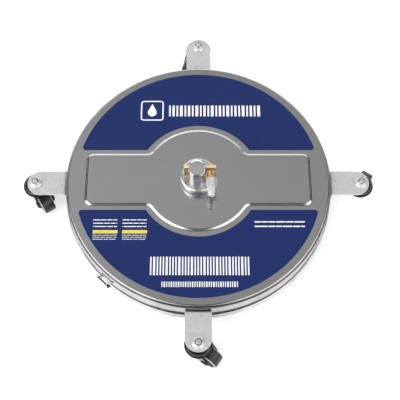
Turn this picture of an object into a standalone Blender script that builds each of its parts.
"""Round surface cleaner for a pressure washer: steel deck on four casters, spray bar below, swivel on top.

Metres, +Z up. The origin is on the floor under the deck's centre, and +X runs along the swivel's cross
barrel towards its outlet. Pieces that touch keep a gap of GAP.
"""

from math import asin, atan2, cos, hypot, pi, radians, sin, sqrt

import bmesh
import bpy
from mathutils import Matrix

# ---------------------------------------------------------------- driving dimensions
GAP = 0.0003

SHEET = 0.0015  # deck sheet thickness
DECK_TOP = 0.0680  # flat of the deck, where the labels lie
DECK_FLAT_RADIUS = 0.2082
EDGE_BEND = 0.0022
STEP_RADIUS = 0.2132  # outside of the step below the edge
STEP_DROP = 0.0076
WALL_RADIUS = 0.2140
WALL_BOTTOM = 0.0270
DECK_SEGMENTS = 64

PLATEAU_RISE = 0.0025
PLATEAU_RADIUS = 0.0895
WING_LENGTH = 0.1805
WING_HALF_WIDTH = 0.0455
WING_CORNER = 0.0110
WING_FILLET = 0.0120

BAND_TOP = 0.0348
BAND_BOTTOM = 0.0246
BAND_RADIUS = 0.2172
LATCH_AZIMUTH = -133.0
LUG_SPACING = 0.0170
LUG_HALF = 0.0016
LUG_REACH = 0.0034  # beyond the band's radius
LUG_INSET = 0.0012  # from the band's edges
SPLIT_HALF = 0.0055
LATCH_SCREW_OUT = 0.0012
LATCH_SCREW_RADIUS = 0.0013
LATCH_HEAD_RADIUS = 0.0023
LATCH_HEAD_LENGTH = 0.0020
LATCH_NUT_LENGTH = 0.0024

CHANNEL_WIDTH = 0.0056
CHANNEL_TOP = 0.0390
CHANNEL_BOTTOM = 0.0275
CHANNEL_SHEET = 0.0012
BRISTLE_BOTTOM = 0.0020

LABEL_RADIUS = 0.1977
LABEL_INNER_RADIUS = 0.0987
LABEL_EDGE = 0.0535
LABEL_CORNER = 0.0045
LABEL_THICKNESS = 0.0004

ARM_WIDTH = 0.0410
ARM_THICKNESS = 0.0030
ARM_TOP = 0.0550
ARM_TIP = 0.2770
TAB_INNER = 0.2143
TAB_BEND = 0.0020
TAB_BOTTOM = 0.0365
RIVET_HEIGHT = 0.0440
RIVET_SIDE = 0.0110
RIVET_RADIUS = 0.0025
RIVET_HOLE_START = 0.2050

STEM_DISTANCE = 0.2635
STEM_RADIUS = 0.0040
STEM_TOP = 0.0660
SPINDLE_RADIUS = 0.0060
HEAD_RADIUS = 0.0085
HEAD_BOTTOM = 0.0392
RACE_RADIUS = 0.0185
NUT_HALF_FLATS = 0.0065
NUT_HEIGHT = 0.0086
FLANGE_RADIUS = 0.0098
FLANGE_THICKNESS = 0.0010
WHEEL_RADIUS = 0.0200
WHEEL_HALF_WIDTH = 0.0102
TRAIL = 0.0190
CROWN_RADIUS = 0.0215
CROWN_BOTTOM = 0.0420
CROWN_TOP = 0.0483
LEG_INNER = 0.0112
LEG_THICKNESS = 0.0030
LEG_BACK = -0.0100
LEG_FRONT = 0.0180
BOSS_OUTER = 0.0152
BOSS_RADIUS = 0.0075
AXLE_RADIUS = 0.0030

BASE_RADIUS = 0.0290
BASE_TOP = 0.0860
GASKET_THICKNESS = 0.0012
SEAT_TOP = 0.0780
PASSAGE_RADIUS = 0.0040
LOCK_NUT_HALF_FLATS = 0.0235
LOCK_NUT_HEIGHT = 0.0080
NECK_RADIUS = 0.0170
NECK_BOTTOM = 0.0440
BEARING_SEAT = 0.0130
BLOCK_RADIUS = 0.01225
BLOCK_FRONT = 0.0155
BLOCK_CORNER = 0.0085
BLOCK_CENTRE_X = -0.0020
BLOCK_TOP = 0.1150
PIVOT_HEIGHT = 0.1020
BARREL_RADIUS = 0.0060
BARREL_TIP = 0.0240
HEXAGON_HALF_FLATS = 0.0076  # the barrel's head and the elbow
HEXAGON_LENGTH = 0.0090
ELBOW_END = 0.0280
OUTLET_X = 0.0205
NUT_START = 0.0169  # the union nut and the plug's end face, as distances from the barrel's axis
NUT_END = 0.0270
PLUG_TIP = 0.0420
UNION_NUT_HALF_FLATS = 0.0082
THROAT_RADIUS = 0.0050
RIB_RADIUS = 0.0061
RIB_PITCH = 0.0036
WATER_RADIUS = 0.0030
OUTLET_DROP = radians(8.0)  # the outlet hangs this far below level at rest

BAR_HEIGHT = 0.0340
TUBE_RADIUS = 0.0068
TUBE_BORE = 0.0045
TUBE_END = 0.1775
NOZZLE_X = 0.1820
NOZZLE_TILT = radians(20.0)
SHAFT_RADIUS = 0.0090
SHAFT_BOTTOM = 0.0256
SHAFT_TOP = 0.0777
HUB_BOTTOM = 0.0222
HUB_TOP = 0.0420
HUB_HALF_LENGTH = 0.0220
HUB_HALF_WIDTH = 0.0160
HOLDER_RADIUS = 0.0105
HOLDER_BOTTOM = -0.0110  # below the tubes' axis
HOLDER_TOP = 0.0100
NOZZLE_TIP = -0.0215
NOZZLE_HALF_FLATS = 0.0055
NOZZLE_THREAD_RADIUS = 0.0040

# Arm name, azimuth of the arm, azimuth that its caster trails towards (degrees, counter-clockwise from +X)
ARMS = (
    ("front", -90.0, -34.0),
    ("back", 90.0, -125.0),
    ("left", 180.0, -57.0),
    ("right", 0.0, 57.0),
)


# ---------------------------------------------------------------- scene and materials
def clear_scene():
    for obj in list(bpy.data.objects):
        bpy.data.objects.remove(obj, do_unlink=True)
    for mesh in list(bpy.data.meshes):
        bpy.data.meshes.remove(mesh)


def material(name, colour, roughness, metallic):
    mat = bpy.data.materials.new(name)
    mat.use_nodes = True
    shader = mat.node_tree.nodes["Principled BSDF"]
    shader.inputs["Base Color"].default_value = (*colour, 1.0)
    shader.inputs["Roughness"].default_value = roughness
    shader.inputs["Metallic"].default_value = metallic
    return mat


def copy_of(mat, name):
    """Each object's own material, with the look of its kind."""
    own = mat.copy()
    own.name = name
    return own


# ---------------------------------------------------------------- mesh helpers
def arc(cx, cy, radius, start, end, steps):
    """Points of an arc from start to end (radians), both ends included."""
    angles = [start + (end - start) * i / steps for i in range(steps + 1)]
    return [(cx + radius * cos(a), cy + radius * sin(a)) for a in angles]


def corner_radius(point, angle):
    """Distance from the axis at an angle: constant, or a hexagon's for a point marked hex."""
    if len(point) < 3:
        return point[0]
    return point[0] / cos((angle + pi / 6) % (pi / 3) - pi / 6)


def lathe(profile, segments, closed=False):
    """A solid turned about Z from (radius, height) points. A third item makes the point a hexagon."""
    bm = bmesh.new()
    turns = [2 * pi * i / segments for i in range(segments)]
    rings = []
    for point in profile:
        if point[0] == 0:
            rings.append([bm.verts.new((0, 0, point[1]))] * segments)
            continue
        radii = [corner_radius(point, a) for a in turns]
        rings.append([bm.verts.new((r * cos(a), r * sin(a), point[1])) for r, a in zip(radii, turns)])
    pairs = list(zip(rings, rings[1:]))
    if closed:
        pairs.append((rings[-1], rings[0]))
    for lower, upper in pairs:
        skin(bm, lower, upper)
    bmesh.ops.recalc_face_normals(bm, faces=bm.faces)
    return bm


def skin(bm, lower, upper):
    """Faces between two loops with the same number of points. A pole is one vertex repeated."""
    count = len(lower)
    for i in range(count):
        j = (i + 1) % count
        corners = [lower[i], lower[j], upper[j], upper[i]]
        corners = [v for k, v in enumerate(corners) if v not in corners[:k]]
        if len(corners) > 2:
            bm.faces.new(corners)


def prism(outline, low, high):
    """An outline in the XY plane, extruded from low to high."""
    bm = bmesh.new()
    bottom = [bm.verts.new((x, y, low)) for x, y in outline]
    top = [bm.verts.new((x, y, high)) for x, y in outline]
    skin(bm, bottom, top)
    bm.faces.new(bottom)
    bm.faces.new(top)
    bmesh.ops.recalc_face_normals(bm, faces=bm.faces)
    return bm


def box(x, y, z):
    """A box between pairs of coordinates."""
    return prism([(x[0], y[0]), (x[1], y[0]), (x[1], y[1]), (x[0], y[1])], z[0], z[1])


def transformed(bm, matrix):
    bm.transform(matrix)
    return bm


def along_x(bm):
    """Turns a solid made about Z so that it runs along +X."""
    return transformed(bm, Matrix.Rotation(pi / 2, 4, "Y"))


def along_y(bm):
    return transformed(bm, Matrix.Rotation(-pi / 2, 4, "X"))


def shifted(bm, x, y, z):
    return transformed(bm, Matrix.Translation((x, y, z)))


def mesh_of(name, bm):
    mesh = bpy.data.meshes.new(name)
    bm.to_mesh(mesh)
    bm.free()
    return mesh


def add(name, mesh, mat, parent=None, location=(0, 0, 0)):
    if isinstance(mesh, bmesh.types.BMesh):
        mesh = mesh_of(name, mesh)
    obj = bpy.data.objects.new(name, mesh)
    bpy.context.collection.objects.link(obj)
    obj.location = location
    obj.parent = parent
    if not mesh.materials:
        mesh.materials.append(copy_of(mat, name))
    mesh.shade_smooth()
    mesh.set_sharp_from_angle(angle=radians(30))
    return obj


def pivot(name, location, turn=0.0):
    empty = bpy.data.objects.new(name, None)
    bpy.context.collection.objects.link(empty)
    empty.location = location
    empty.rotation_euler = (0, 0, turn)
    return empty


def combined(start, steps):
    """The mesh left by a chain of Booleans: each step is UNION, DIFFERENCE or INTERSECT and a bmesh."""
    solids = [start] + [tool for _, tool in steps]
    scratch = [bpy.data.objects.new("scratch", mesh_of("scratch", bm)) for bm in solids]
    for obj in scratch:
        bpy.context.collection.objects.link(obj)
    body = scratch[0]
    for (operation, _), tool in zip(steps, scratch[1:]):
        boolean = body.modifiers.new(operation, "BOOLEAN")
        boolean.operation = operation
        boolean.solver = "EXACT"
        boolean.object = tool
    evaluated = body.evaluated_get(bpy.context.evaluated_depsgraph_get())
    mesh = bpy.data.meshes.new_from_object(evaluated)
    for obj in scratch:
        left_over = obj.data
        bpy.data.objects.remove(obj, do_unlink=True)
        bpy.data.meshes.remove(left_over)
    return mesh


# ---------------------------------------------------------------- deck
def plateau_outline(offset):
    """The raised centre: a disc with a wing each side, rounded and filleted, grown by offset all round."""
    radius, length = PLATEAU_RADIUS + offset, WING_LENGTH + offset
    half, corner, fillet = WING_HALF_WIDTH + offset, WING_CORNER + offset, WING_FILLET - offset
    fillet_y = half + fillet
    fillet_x = sqrt((radius + fillet) ** 2 - fillet_y**2)
    meet = atan2(fillet_y, fillet_x)
    quarter = arc(length - corner, half - corner, corner, 0, pi / 2, 4)
    quarter += arc(fillet_x, fillet_y, fillet, -pi / 2, meet - pi, 3)
    quarter += arc(0, 0, radius, meet, pi / 2, 7)[1:]
    right_top = [(length, 0.0)] + quarter
    left_top = [(-x, y) for x, y in reversed(right_top[:-1])]
    top = right_top + left_top
    bottom = [(x, -y) for x, y in reversed(top[1:-1])]
    return top + bottom


def fill(bm, outer, inner):
    """A flat face between two loops."""
    edges = []
    for loop in (outer, inner):
        for a, b in zip(loop, loop[1:] + loop[:1]):
            edges.append(bm.edges.get((a, b)) or bm.edges.new((a, b)))
    bmesh.ops.triangle_fill(bm, use_beauty=True, use_dissolve=False, edges=edges)


def deck_pan():
    """Pressed sheet: flat top with a raised centre, small edge bend, a step, and a wall down to the band."""
    bm = bmesh.new()

    def circle(radius, z, segments=DECK_SEGMENTS):
        return [bm.verts.new((x, y, z)) for x, y in arc(0, 0, radius, 0, 2 * pi, segments)[:-1]]

    def outline(offset, z):
        return [bm.verts.new((x, y, z)) for x, y in plateau_outline(offset)]

    hole = NECK_RADIUS + GAP
    bend_z = DECK_TOP - EDGE_BEND
    bend = arc(DECK_FLAT_RADIUS, bend_z, EDGE_BEND, pi / 2, 0, 2)
    edge = bend[-1][0]
    step_low = DECK_TOP - STEP_DROP
    outside = bend + [
        (edge + 0.0002, bend_z - 0.0020),
        (STEP_RADIUS, step_low),
        (WALL_RADIUS, WALL_BOTTOM),
    ]
    inside = [
        (edge - SHEET, DECK_TOP - SHEET),
        (edge - SHEET, bend_z - 0.0026),
        (STEP_RADIUS - SHEET, step_low - 0.0006),
        (WALL_RADIUS - SHEET, WALL_BOTTOM),
    ]
    slope, lean = -PLATEAU_RISE, -0.0006

    top_hole = circle(hole, DECK_TOP + PLATEAU_RISE, 32)
    top_crest = outline(slope, DECK_TOP + PLATEAU_RISE)
    top_foot = outline(0, DECK_TOP)
    outer_rings = [circle(r, z) for r, z in outside]
    under_hole = circle(hole, DECK_TOP + PLATEAU_RISE - SHEET, 32)
    under_crest = outline(slope + lean, DECK_TOP + PLATEAU_RISE - SHEET)
    under_foot = outline(lean, DECK_TOP - SHEET)
    inner_rings = [circle(r, z) for r, z in inside]

    skin(bm, top_crest, top_foot)
    skin(bm, under_crest, under_foot)
    skin(bm, top_hole, under_hole)
    skin(bm, outer_rings[-1], inner_rings[-1])
    for rings in (outer_rings, inner_rings):
        for upper, lower in zip(rings, rings[1:]):
            skin(bm, upper, lower)
    fill(bm, top_crest, top_hole)
    fill(bm, outer_rings[0], top_foot)
    fill(bm, under_crest, under_hole)
    fill(bm, inner_rings[0], under_foot)
    bmesh.ops.recalc_face_normals(bm, faces=bm.faces)
    return combined(bm, [("DIFFERENCE", rivet_hole(*place)) for place in rivet_places()])


def rivet_places():
    """Azimuth of each arm with the side offset of each of its two rivets."""
    return [(azimuth, side * RIVET_SIDE) for _, azimuth, _ in ARMS for side in (-1, 1)]


def rivet_hole(azimuth, side):
    """A cutter through the wall and an arm's tab, along the arm."""
    hole = along_x(lathe([(0, 0), (RIVET_RADIUS + GAP, 0), (RIVET_RADIUS + GAP, 0.020), (0, 0.020)], 8))
    shifted(hole, RIVET_HOLE_START, side, RIVET_HEIGHT)
    return transformed(hole, Matrix.Rotation(radians(azimuth), 4, "Z"))


def rim_band():
    """Clamp band with a bead at each edge, split at the latch, with a lug on each side of the split."""
    inner = WALL_RADIUS + GAP
    profile = [
        (inner, BAND_TOP),
        (inner + 0.0018, BAND_TOP - 0.0004),
        (inner + 0.0014, BAND_TOP - 0.0026),
        (inner + 0.0014, BAND_BOTTOM + 0.0030),
        (BAND_RADIUS, BAND_BOTTOM + 0.0010),
        (inner, BAND_BOTTOM),
    ]
    turn = Matrix.Rotation(radians(LATCH_AZIMUTH), 4, "Z")
    middle = (BAND_TOP + BAND_BOTTOM) / 2
    reach = (inner + 0.0005, BAND_RADIUS + LUG_REACH)
    height = (BAND_BOTTOM + LUG_INSET, BAND_TOP - LUG_INSET)
    steps = []
    for side in (-1, 1):
        centre = side * LUG_SPACING / 2
        lug = box(reach, (centre - LUG_HALF, centre + LUG_HALF), height)
        steps.append(("UNION", transformed(lug, turn)))
    split = box((WALL_RADIUS - 0.004, BAND_RADIUS + 0.002), (-SPLIT_HALF, SPLIT_HALF), (0.020, 0.040))
    steps.append(("DIFFERENCE", transformed(split, turn)))
    hole = LATCH_SCREW_RADIUS + GAP
    bore = along_y(lathe([(0, -0.02), (hole, -0.02), (hole, 0.02), (0, 0.02)], 12))
    shifted(bore, BAND_RADIUS + LATCH_SCREW_OUT, 0, middle)
    steps.append(("DIFFERENCE", transformed(bore, turn)))
    return combined(lathe(profile, DECK_SEGMENTS, closed=True), steps)


def band_fasteners(steel):
    """The latch screw lies along the band's tangent, through both lugs, with a nut at its far side."""
    turn = radians(LATCH_AZIMUTH)
    frame = pivot("latch_frame", (0, 0, (BAND_TOP + BAND_BOTTOM) / 2), turn)
    face = LUG_SPACING / 2 + LUG_HALF + GAP
    out, shank = BAND_RADIUS + LATCH_SCREW_OUT, LATCH_SCREW_RADIUS
    head = -face - LATCH_HEAD_LENGTH
    screw = [(0, head), (LATCH_HEAD_RADIUS, head), (LATCH_HEAD_RADIUS, -face), (shank, -face)]
    screw += [(shank, face + 1.5 * LATCH_NUT_LENGTH), (0, face + 1.5 * LATCH_NUT_LENGTH)]
    add("band_screw", along_y(lathe(screw, 12)), steel, frame, (out, 0, 0))
    end, bore = face + LATCH_NUT_LENGTH, shank + GAP
    nut = [(bore, face), (LATCH_HEAD_RADIUS, face, "hex"), (LATCH_HEAD_RADIUS, end, "hex"), (bore, end)]
    add("band_nut", along_y(lathe(nut, 12, closed=True)), steel, frame, (out, 0, 0))


def brush_ring(plastic, bristle):
    """Channel inside the wall, open below, and the bristle skirt that it holds."""
    outer = STEP_RADIUS - SHEET - GAP
    inner = outer - CHANNEL_WIDTH
    channel = [
        (outer, CHANNEL_BOTTOM),
        (outer, CHANNEL_TOP),
        (inner, CHANNEL_TOP),
        (inner, CHANNEL_BOTTOM),
        (inner + CHANNEL_SHEET, CHANNEL_BOTTOM),
        (inner + CHANNEL_SHEET, CHANNEL_TOP - CHANNEL_SHEET),
        (outer - CHANNEL_SHEET, CHANNEL_TOP - CHANNEL_SHEET),
        (outer - CHANNEL_SHEET, CHANNEL_BOTTOM),
    ]
    add("brush_holder", lathe(channel, 40, closed=True), plastic)
    play = CHANNEL_SHEET + GAP
    corners = ((outer - play, CHANNEL_TOP - play), (outer - play, BRISTLE_BOTTOM))
    corners += ((inner + play, BRISTLE_BOTTOM), (inner + play, CHANNEL_TOP - play))
    add("brush_skirt", lathe(corners, 40, closed=True), bristle)


def label_outline():
    """Upper label: an arc band cut off straight at its lower edge, with small round outer corners."""
    corner_y = LABEL_EDGE + LABEL_CORNER
    corner_x = sqrt((LABEL_RADIUS - LABEL_CORNER) ** 2 - corner_y**2)
    meet = atan2(corner_y, corner_x)
    right = arc(corner_x, corner_y, LABEL_CORNER, -pi / 2, meet, 3)
    left = [(-x, y) for x, y in reversed(right)]
    inner_meet = asin(LABEL_EDGE / LABEL_INNER_RADIUS)
    outer_arc = arc(0, 0, LABEL_RADIUS, meet, pi - meet, 24)[1:-1]
    inner_arc = arc(0, 0, LABEL_INNER_RADIUS, pi - inner_meet, inner_meet, 16)
    return right + outer_arc + left + inner_arc


# ---------------------------------------------------------------- arms and casters
def bracket_mesh():
    """One arm along +X: sheet bent down into a tab against the wall, with a round free end."""
    half, end = ARM_WIDTH / 2, ARM_TIP - ARM_WIDTH / 2
    low, bend = ARM_TOP - ARM_THICKNESS, TAB_BEND
    side = [(ARM_TIP + 0.01, ARM_TOP)]
    side += arc(TAB_INNER + bend, ARM_TOP - bend, bend, pi / 2, pi, 3)
    side += [(TAB_INNER, TAB_BOTTOM), (TAB_INNER + ARM_THICKNESS, TAB_BOTTOM)]
    side += [(TAB_INNER + ARM_THICKNESS, low), (ARM_TIP + 0.01, low)]
    sheet = prism(side, -0.03, 0.03)
    transformed(sheet, Matrix.Rotation(pi / 2, 4, "X"))
    outline = [(0.200, -half)] + arc(end, 0, half, -pi / 2, pi / 2, 12) + [(0.200, half)]
    steps = [("INTERSECT", prism(outline, 0.020, 0.070))]
    hole = [(0, 0.040), (STEM_RADIUS + GAP, 0.040), (STEM_RADIUS + GAP, 0.070), (0, 0.070)]
    steps.append(("DIFFERENCE", shifted(lathe(hole, 14), STEM_DISTANCE, 0, 0)))
    for place in (-RIVET_SIDE, RIVET_SIDE):
        steps.append(("DIFFERENCE", rivet_hole(0.0, place)))
    return combined(sheet, steps)


def rivet_mesh():
    """Rivet along +X, from its inner head behind the wall to its outer head on the tab."""
    inner_face = STEP_RADIUS - SHEET - GAP - 0.0006
    outer_face = TAB_INNER + ARM_THICKNESS + GAP
    profile = [
        (0, inner_face - 0.0016),
        (0.0040, inner_face - 0.0016),
        (0.0044, inner_face),
        (RIVET_RADIUS, inner_face),
        (RIVET_RADIUS, outer_face),
        (0.0046, outer_face),
        (0.0032, outer_face + 0.0020),
        (0, outer_face + 0.0025),
    ]
    return mesh_of("rivet", along_x(lathe(profile, 8)))


def stem_mesh():
    """Fixed half of a caster: retaining head, spindle, upper race and threaded stud, about Z."""
    race_low, race_top = CROWN_TOP + GAP, ARM_TOP - ARM_THICKNESS - GAP
    head_top = CROWN_BOTTOM - GAP
    profile = [
        (0, HEAD_BOTTOM),
        (HEAD_RADIUS, HEAD_BOTTOM),
        (HEAD_RADIUS, head_top),
        (SPINDLE_RADIUS, head_top),
        (SPINDLE_RADIUS, race_low),
        (RACE_RADIUS, race_low),
        (RACE_RADIUS, race_top),
        (STEM_RADIUS, race_top),
        (STEM_RADIUS, STEM_TOP),
        (0, STEM_TOP),
    ]
    return mesh_of("stem", lathe(profile, 20))


def nut_mesh():
    """Flanged hexagon nut on the arm."""
    low, bore = ARM_TOP + GAP, STEM_RADIUS + GAP
    profile = [
        (bore, low),
        (FLANGE_RADIUS, low),
        (FLANGE_RADIUS, low + FLANGE_THICKNESS),
        (NUT_HALF_FLATS, low + 2 * FLANGE_THICKNESS, "hex"),
        (NUT_HALF_FLATS, low + NUT_HEIGHT, "hex"),
        (bore, low + NUT_HEIGHT),
    ]
    return mesh_of("nut", lathe(profile, 12, closed=True))


def fork_mesh():
    """Turning half of a caster: round crown with two legs that trail along +X down to the axle bosses."""
    crown = [
        (SPINDLE_RADIUS + GAP, CROWN_BOTTOM),
        (CROWN_RADIUS - 0.0030, CROWN_BOTTOM),
        (CROWN_RADIUS, CROWN_BOTTOM + 0.0022),
        (CROWN_RADIUS, CROWN_TOP),
        (SPINDLE_RADIUS + GAP, CROWN_TOP),
    ]
    leg_top = CROWN_BOTTOM + 0.0030
    lean = asin(BOSS_RADIUS / hypot(TRAIL - LEG_BACK, CROWN_BOTTOM - WHEEL_RADIUS))
    back = atan2(WHEEL_RADIUS - CROWN_BOTTOM, TRAIL - LEG_BACK) + lean - pi / 2
    outline = [(LEG_BACK, leg_top), (LEG_BACK, CROWN_BOTTOM)]
    outline += arc(TRAIL, WHEEL_RADIUS, BOSS_RADIUS, back - pi * 0.12, 0.35, 6)
    outline += [(LEG_FRONT, CROWN_BOTTOM), (LEG_FRONT, leg_top)]
    steps = []
    for side in (-1, 1):
        inner = side * LEG_INNER
        outer = side * (LEG_INNER + LEG_THICKNESS)
        leg = prism(outline, min(inner, outer), max(inner, outer))
        steps.append(("UNION", transformed(leg, Matrix.Rotation(pi / 2, 4, "X"))))
        knob = [(0, LEG_INNER + 0.0010), (0.0062, LEG_INNER + 0.0010), (0.0056, BOSS_OUTER), (0, BOSS_OUTER)]
        boss_mesh = along_y(lathe(knob, 12))
        if side < 0:
            transformed(boss_mesh, Matrix.Rotation(pi, 4, "Z"))
        steps.append(("UNION", shifted(boss_mesh, TRAIL, 0, WHEEL_RADIUS)))
    reach = 0.030
    bore = [(0, -reach), (AXLE_RADIUS + GAP, -reach), (AXLE_RADIUS + GAP, reach), (0, reach)]
    steps.append(("DIFFERENCE", shifted(along_y(lathe(bore, 12)), TRAIL, 0, WHEEL_RADIUS)))
    return combined(lathe(crown, 24, closed=True), steps)


def wheel_mesh():
    """Wheel about Y, centred on its axle, with a recessed face between hub and tread on each side."""
    half = WHEEL_HALF_WIDTH
    bore = AXLE_RADIUS + GAP
    side = [
        (bore, half),
        (0.0070, half),
        (0.0080, half - 0.0016),
        (0.0142, half - 0.0016),
        (WHEEL_RADIUS - 0.0012, half),
        (WHEEL_RADIUS, half - 0.0016),
    ]
    profile = side + [(r, -y) for r, y in reversed(side)]
    return mesh_of("wheel", along_y(lathe(profile, 24, closed=True)))


def axle_mesh():
    face = BOSS_OUTER + GAP
    half = [(AXLE_RADIUS, face), (0.0046, face), (0.0036, face + 0.0012), (0, face + 0.0014)]
    profile = [(r, -y) for r, y in reversed(half)] + half
    return mesh_of("axle", along_y(lathe(profile, 10)))


def arms_and_casters(looks):
    meshes = {
        "bracket": bracket_mesh(),
        "rivet": rivet_mesh(),
        "stem": stem_mesh(),
        "nut": nut_mesh(),
        "fork": fork_mesh(),
        "wheel": wheel_mesh(),
        "axle": axle_mesh(),
    }
    for name, azimuth, trail in ARMS:
        turn = radians(azimuth)
        frame = pivot(f"arm_frame_{name}", (0, 0, 0), turn)
        add(f"bracket_{name}", meshes["bracket"], looks["zinc"], frame)
        for label, side in (("a", -RIVET_SIDE), ("b", RIVET_SIDE)):
            add(f"rivet_{name}_{label}", meshes["rivet"], looks["steel"], frame, (0, side, RIVET_HEIGHT))
        stem = (STEM_DISTANCE * cos(turn), STEM_DISTANCE * sin(turn), 0)
        fixed = pivot(f"stem_frame_{name}", stem)
        add(f"caster_stem_{name}", meshes["stem"], looks["steel"], fixed)
        add(f"caster_nut_{name}", meshes["nut"], looks["steel"], fixed)
        swivel = pivot(f"caster_swivel_{name}", stem, radians(trail))
        add(f"caster_fork_{name}", meshes["fork"], looks["black"], swivel)
        axle = (TRAIL, 0, WHEEL_RADIUS)
        add(f"caster_axle_{name}", meshes["axle"], looks["steel"], swivel, axle)
        add(f"caster_wheel_{name}", meshes["wheel"], looks["tyre"], swivel, axle)


# ---------------------------------------------------------------- swivel
def swivel(looks):
    """Turned base through the deck, its lock nut, gasket, bearings and seal."""
    plateau = DECK_TOP + PLATEAU_RISE
    gasket_top = plateau + GAP + GASKET_THICKNESS
    base_low = gasket_top + GAP
    base = [
        (NECK_RADIUS, NECK_BOTTOM),
        (NECK_RADIUS, base_low),
        (BASE_RADIUS, base_low),
        (BASE_RADIUS, BASE_TOP - 0.0014),
        (BASE_RADIUS - 0.0014, BASE_TOP),
        (PASSAGE_RADIUS, BASE_TOP),
        (PASSAGE_RADIUS, SEAT_TOP),
        (BEARING_SEAT, SEAT_TOP),
        (BEARING_SEAT, NECK_BOTTOM),
    ]
    add("swivel_base", lathe(base, 32, closed=True), looks["chrome"])

    def ring(name, inner, outer, low, high, look, segments=20):
        profile = [(inner, low), (outer, low), (outer, high), (inner, high)]
        add(name, lathe(profile, segments, closed=True), looks[look])

    ring("deck_gasket", NECK_RADIUS + GAP, BASE_RADIUS - 0.0004, plateau + GAP, gasket_top, "rubber", 24)
    inside, outside = SHAFT_RADIUS + GAP, BEARING_SEAT - GAP
    ring("lower_bearing", inside, outside, NECK_BOTTOM + 0.0010, NECK_BOTTOM + 0.0090, "steel")
    ring("upper_bearing", inside, outside, 0.0600, 0.0680, "steel")
    ring("shaft_seal", inside, outside, 0.0700, 0.0750, "rubber")
    high, inside, flats = plateau - SHEET - GAP, NECK_RADIUS + GAP, LOCK_NUT_HALF_FLATS
    low = high - LOCK_NUT_HEIGHT
    nut = [(inside, low), (flats, low, "hex"), (flats, high, "hex"), (inside, high)]
    add("lock_nut", lathe(nut, 24, closed=True), looks["brass"])


def inlet_block(chrome):
    """Block on the base: round at the back, flat at the front, bored across for the pivoting barrel."""
    flat = BLOCK_RADIUS - BLOCK_CORNER
    middle = BLOCK_CORNER - BLOCK_FRONT
    outline = arc(0, 0, BLOCK_RADIUS, 0, pi, 12)
    outline += arc(-flat, middle, BLOCK_CORNER, pi, 1.5 * pi, 5)
    outline += arc(flat, middle, BLOCK_CORNER, 1.5 * pi, 2 * pi, 5)
    low, chamfer = BASE_TOP + GAP, 0.0012
    bm = bmesh.new()
    scales = [(low, 0.0), (BLOCK_TOP - chamfer, 0.0), (BLOCK_TOP, chamfer)]
    loops = []
    for z, inset in scales:
        shrink = 1 - inset / BLOCK_RADIUS
        loops.append([bm.verts.new((x * shrink, y * shrink, z)) for x, y in outline])
    for lower, upper in zip(loops, loops[1:]):
        skin(bm, lower, upper)
    bm.faces.new(loops[0])
    bm.faces.new(loops[-1])
    bmesh.ops.recalc_face_normals(bm, faces=bm.faces)
    reach, bore, passage = 0.030, BARREL_RADIUS + GAP, PASSAGE_RADIUS
    cross = along_x(lathe([(0, -reach), (bore, -reach), (bore, reach), (0, reach)], 20))
    shifted(cross, 0, 0, PIVOT_HEIGHT)
    riser = lathe([(0, low - 0.005), (passage, low - 0.005), (passage, PIVOT_HEIGHT), (0, PIVOT_HEIGHT)], 12)
    mesh = combined(bm, [("DIFFERENCE", cross), ("DIFFERENCE", riser)])
    add("inlet_block", mesh, chrome, None, (BLOCK_CENTRE_X, 0, 0))


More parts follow.
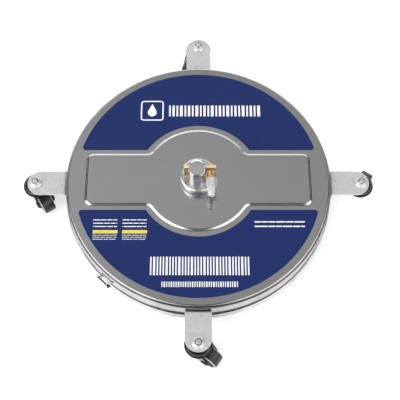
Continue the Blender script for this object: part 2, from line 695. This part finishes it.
def coupler(looks):
    """Hollow barrel through the block, the elbow on its right end, union nut and quick-connect plug."""
    hinge = pivot("coupler_pivot", (0, 0, PIVOT_HEIGHT))
    left = BLOCK_CENTRE_X - BLOCK_RADIUS - GAP
    right = BLOCK_CENTRE_X + BLOCK_RADIUS + GAP
    end, tip, flats = left - HEXAGON_LENGTH, BARREL_TIP, HEXAGON_HALF_FLATS
    barrel = [
        (0, end),
        (flats - 0.0010, end, "hex"),
        (flats, end + 0.0010, "hex"),
        (flats, left, "hex"),
        (BARREL_RADIUS, left),
        (BARREL_RADIUS, tip),
        (WATER_RADIUS, tip),
        (WATER_RADIUS, left + 0.006),
        (0, left + 0.006),
    ]
    corner_up = Matrix.Rotation(pi / 6, 4, "X")
    add("pivot_barrel", transformed(along_x(lathe(barrel, 24)), corner_up), looks["brass"], hinge)

    drop = Matrix.Rotation(pi / 2 + OUTLET_DROP, 4, "X")  # +Z to the front and a little down

    def outlet(bm):
        return shifted(transformed(bm, drop), OUTLET_X, 0, 0)

    far = ELBOW_END
    body = [(0, right), (flats - 0.0005, right, "hex"), (flats, right + 0.0006, "hex")]
    body += [(flats, far - 0.0008, "hex"), (flats - 0.0006, far, "hex"), (0, far)]
    spigot_end = NUT_START - GAP
    spigot = [(0, 0.0020), (0.0072, 0.0020), (0.0072, spigot_end), (0, spigot_end)]
    socket = BARREL_RADIUS + GAP
    bore = [(0, right - 0.002), (socket, right - 0.002), (socket, tip + GAP), (0, tip + GAP)]
    water = [(0, 0), (WATER_RADIUS, 0), (WATER_RADIUS, spigot_end + 0.005), (0, spigot_end + 0.005)]
    steps = [
        ("UNION", outlet(lathe(spigot, 18))),
        ("DIFFERENCE", along_x(lathe(bore, 18))),
        ("DIFFERENCE", outlet(lathe(water, 10))),
    ]
    elbow = transformed(along_x(lathe(body, 24)), corner_up)
    add("outlet_elbow", combined(elbow, steps), looks["brass"], hinge)

    flats, throat = UNION_NUT_HALF_FLATS, THROAT_RADIUS
    nut = [
        (throat + GAP, NUT_START),
        (flats - 0.0008, NUT_START, "hex"),
        (flats, NUT_START + 0.0012, "hex"),
        (flats, NUT_END - 0.0012, "hex"),
        (flats - 0.0008, NUT_END, "hex"),
        (throat + GAP, NUT_END),
    ]
    turned = transformed(lathe(nut, 12, closed=True), Matrix.Rotation(pi / 6, 4, "Z"))
    add("union_nut", outlet(turned), looks["chrome"], hinge)

    collar = NUT_END + GAP
    plug = [(throat, NUT_START + 0.0010), (throat, collar)]
    for i in range(3):
        start = collar + i * RIB_PITCH
        plug += [(RIB_RADIUS, start), (RIB_RADIUS, start + 0.0022)]
        plug += [(throat, start + 0.0026), (throat, start + RIB_PITCH)]
    bore = 0.0026
    plug += [(0.0058, PLUG_TIP), (bore, PLUG_TIP), (bore, NUT_START + 0.0010)]
    add("quick_plug", outlet(lathe(plug, 14, closed=True)), looks["chrome"], hinge)


# ---------------------------------------------------------------- spray bar
def spray_bar(looks):
    """Shaft, hub, two arms of tube and a tilted nozzle at each end, all turning about Z."""
    spin = pivot("spray_bar_pivot", (0, 0, 0))
    low, high = SHAFT_BOTTOM, SHAFT_TOP
    shaft = [(SHAFT_RADIUS, low), (SHAFT_RADIUS, high), (WATER_RADIUS, high), (WATER_RADIUS, low)]
    add("swivel_shaft", lathe(shaft, 20, closed=True), looks["steel"], spin)

    chamfer, long_half, short_half = 0.0030, HUB_HALF_LENGTH, HUB_HALF_WIDTH
    outline = []
    for sx, sy in ((1, -1), (1, 1), (-1, 1), (-1, -1)):
        pair = [(sx * (long_half - chamfer), sy * short_half), (sx * long_half, sy * (short_half - chamfer))]
        outline += pair if sx * sy < 0 else pair[::-1]
    seat, cross = SHAFT_RADIUS + GAP, TUBE_RADIUS + GAP
    bore = along_x(lathe([(0, -0.030), (cross, -0.030), (cross, 0.030), (0, 0.030)], 18))
    steps = [
        ("DIFFERENCE", lathe([(0, low - GAP), (seat, low - GAP), (seat, 0.05), (0, 0.05)], 20)),
        ("DIFFERENCE", shifted(bore, 0, 0, BAR_HEIGHT)),
    ]
    add("bar_hub", combined(prism(outline, HUB_BOTTOM, HUB_TOP), steps), looks["brass"], spin)

    start = SHAFT_RADIUS + 0.0030
    tube = [(TUBE_RADIUS, start), (TUBE_RADIUS, TUBE_END), (TUBE_BORE, TUBE_END), (TUBE_BORE, start)]
    rim = HOLDER_RADIUS
    holder = [(0, HOLDER_BOTTOM), (rim, HOLDER_BOTTOM), (rim, HOLDER_TOP - 0.0012)]
    holder += [(rim - 0.0011, HOLDER_TOP), (0, HOLDER_TOP)]
    face, thread = HOLDER_BOTTOM - GAP, NOZZLE_THREAD_RADIUS
    nozzle = [
        (0, NOZZLE_TIP),
        (0.0030, NOZZLE_TIP),
        (NOZZLE_HALF_FLATS, NOZZLE_TIP + 0.0033, "hex"),
        (NOZZLE_HALF_FLATS, face, "hex"),
        (thread, face),
        (thread, -0.0050),
        (0, -0.0050),
    ]
    for name, side in (("right", 0.0), ("left", pi)):
        arm = pivot(f"spray_arm_{name}", (0, 0, BAR_HEIGHT), side)
        arm.parent = spin
        add(f"spray_tube_{name}", along_x(lathe(tube, 18, closed=True)), looks["steel"], arm)
        tilt = Matrix.Rotation(NOZZLE_TILT, 4, "X")

        def placed(bm):
            return transformed(shifted(bm, NOZZLE_X, 0, 0), tilt)

        socket = along_x(lathe([(0, 0.16), (cross, 0.16), (cross, TUBE_END + GAP), (0, TUBE_END + GAP)], 18))
        outlet = lathe([(0, -0.02), (thread + GAP, -0.02), (thread + GAP, 0.0), (0, 0.0)], 12)
        body = placed(lathe(holder, 22))
        mesh = combined(body, [("DIFFERENCE", socket), ("DIFFERENCE", placed(outlet))])
        add(f"nozzle_holder_{name}", mesh, looks["brass"], arm)
        add(f"nozzle_{name}", placed(lathe(nozzle, 12)), looks["steel"], arm)


# ---------------------------------------------------------------- assembly
def build():
    clear_scene()
    looks = {
        "deck": material("polished_stainless", (0.55, 0.55, 0.55), 0.22, 1.0),
        "zinc": material("zinc_plate", (0.72, 0.72, 0.72), 0.42, 1.0),
        "steel": material("plain_steel", (0.62, 0.62, 0.63), 0.30, 1.0),
        "chrome": material("chrome_plate", (0.78, 0.79, 0.80), 0.08, 1.0),
        "brass": material("brass", (0.76, 0.55, 0.30), 0.25, 1.0),
        "black": material("black_nylon", (0.02, 0.02, 0.02), 0.35, 0.0),
        "tyre": material("black_tread", (0.03, 0.03, 0.03), 0.30, 0.0),
        "rubber": material("black_rubber", (0.02, 0.02, 0.02), 0.70, 0.0),
        "bristle": material("bristle", (0.05, 0.05, 0.05), 0.60, 0.0),
        "label": material("blue_film", (0.025, 0.045, 0.16), 0.35, 0.0),
    }
    add("deck_pan", deck_pan(), looks["deck"])
    add("rim_band", rim_band(), looks["deck"])
    band_fasteners(looks["steel"])
    brush_ring(looks["black"], looks["bristle"])
    low = DECK_TOP + GAP
    upper = label_outline()
    add("label_upper", prism(upper, low, low + LABEL_THICKNESS), looks["label"])
    add("label_lower", prism([(-x, -y) for x, y in upper], low, low + LABEL_THICKNESS), looks["label"])
    arms_and_casters(looks)
    swivel(looks)
    inlet_block(looks["chrome"])
    coupler(looks)
    spray_bar(looks)


build()
